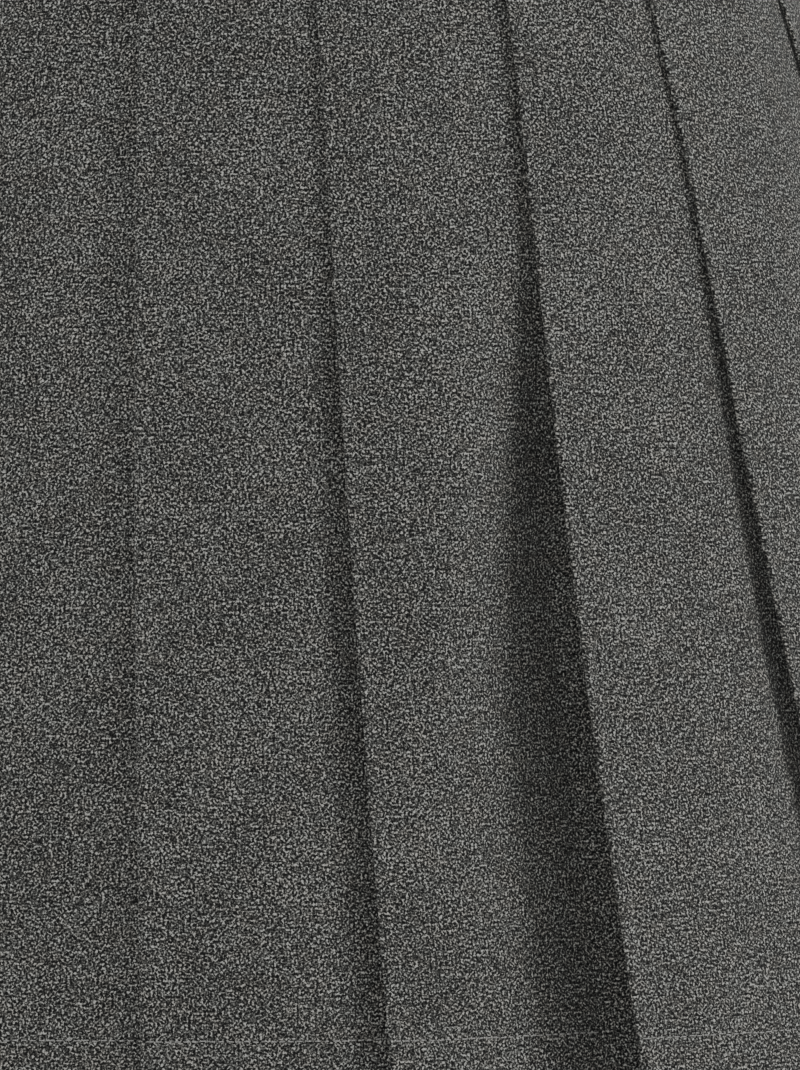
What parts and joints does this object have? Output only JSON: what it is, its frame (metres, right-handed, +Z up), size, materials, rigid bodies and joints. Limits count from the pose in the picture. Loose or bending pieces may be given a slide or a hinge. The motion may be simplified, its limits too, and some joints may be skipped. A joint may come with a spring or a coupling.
{
  "type": "pleated mini skirt",
  "caption": "Knife-pleated mini skirt of grey wool-look suiting, standing open as worn, with a plain waistband, turned-up hem and a zip under a side pleat.",
  "frame": {"origin": "on the skirt's axis, half way up the waistband, where the wearer's waist holds it", "axes": "+Z up; the wearer faces -Y, so the front panel is on the -Y side and the wearer's left, with the zip, is +X"},
  "size_m": [0.4775, 0.3369, 0.406],
  "materials": {
    "suiting": "matte charcoal grey marl suiting, plain weave, light and dark yarns mixed",
    "zip_tape": "matte charcoal woven tape",
    "zip_metal": "satin grey metal"
  },
  "bodies": {
    "skirt": {"waistband": "suiting", "front_panel": "suiting", "back_panel": "suiting", "zip_tape": "zip_tape", "zip_slider": "zip_metal"},
    "pull_tab": {"zip_pull_tab": "zip_metal"}
  },
  "joints": [
    {"name": "pull_tab_swing", "type": "hinge", "parent": "skirt", "child": "pull_tab", "pos_m": [0.15133, 0.02086, 0.00937], "axis": [0.3199, -0.9474, 0], "range_deg": [0, 170]}
  ]
}
